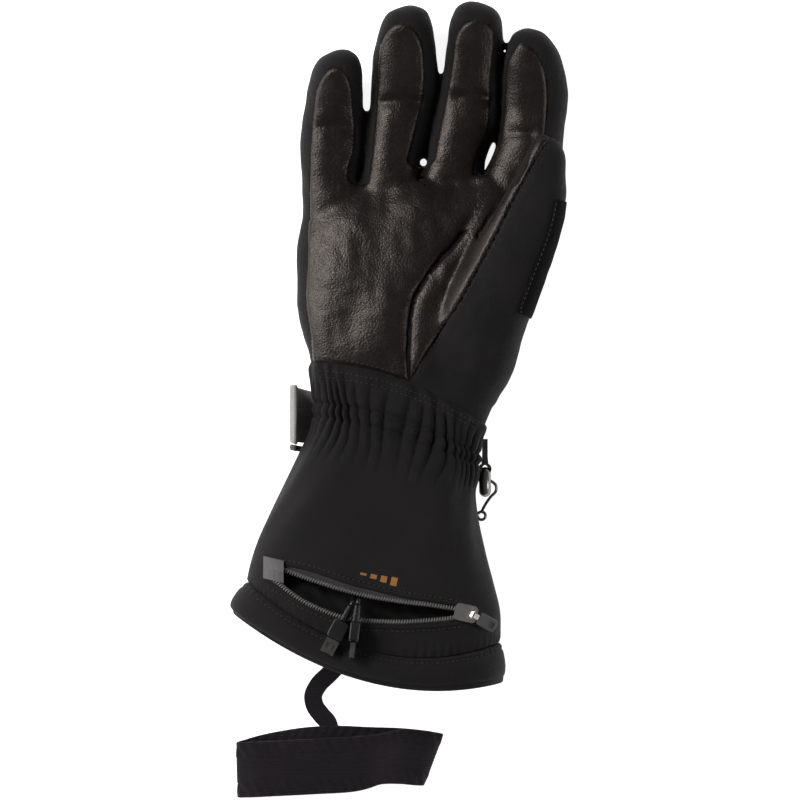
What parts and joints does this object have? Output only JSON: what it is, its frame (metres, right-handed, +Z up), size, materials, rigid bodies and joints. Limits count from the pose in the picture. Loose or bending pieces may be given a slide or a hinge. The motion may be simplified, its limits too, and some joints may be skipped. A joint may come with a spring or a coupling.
{
  "type": "heated glove",
  "caption": "Padded right-hand winter gauntlet glove with leather palm, battery pocket, charging leads and wrist leash, lying palm up.",
  "frame": {"origin": "on the surface that the glove lies on, under the middle of the whole object", "axes": "+X to the thumb side, +Y to the fingertips, +Z up out of the palm"},
  "size_m": [0.1672, 0.399, 0.0662],
  "materials": {
    "softshell": "matte woven softshell over padding",
    "leather": "fine pebbled goat leather with a soft shine",
    "patch": "matte brushed patch",
    "lining": "dark smooth lining",
    "zip_tape": "fine ribbed woven tape",
    "zip_coil": "smooth nylon coil",
    "nickel": "plated metal",
    "gunmetal": "dark polished wire",
    "rubber": "moulded matte rubber",
    "black_plastic": "moulded soft black plastic",
    "grey_strap": "grey coated strap",
    "elastic": "ribbed woven elastic"
  },
  "bodies": {
    "glove": {"hand_shell": "softshell", "finger_little": "softshell", "finger_ring": "softshell", "finger_middle": "softshell", "finger_index": "softshell", "palm_leather": "leather", "thumb_leather": "leather", "wipe_patch": "patch", "gauntlet": "softshell", "hem_band": "softshell", "pocket_bag": "lining", "zip_tape_upper": "zip_tape", "zip_tape_lower": "zip_tape", "zip_coil_upper": "zip_coil", "zip_coil_lower": "zip_coil", "zip_slider": "nickel", "zip_garage": "rubber", "cable_a": "black_plastic", "cable_b": "black_plastic", "relief_a": "black_plastic", "relief_b": "black_plastic", "plug_a": "black_plastic", "plug_b": "black_plastic", "plug_shell_a": "nickel", "plug_shell_b": "nickel", "wrist_strap": "grey_strap", "strap_trim": "zip_tape", "webbing_loop": "zip_tape", "ring": "gunmetal", "hook": "gunmetal", "leash_ribbon": "elastic", "leash_loop": "elastic"},
    "puller": {"puller_link": "nickel", "puller_grip": "rubber"}
  },
  "joints": [
    {"name": "puller_hinge", "type": "hinge", "parent": "glove", "child": "puller", "pos_m": [0.03663, -0.10615, 0.0557], "axis": [-0.4969, -0.8678, 0], "range_deg": [0, 150]}
  ]
}
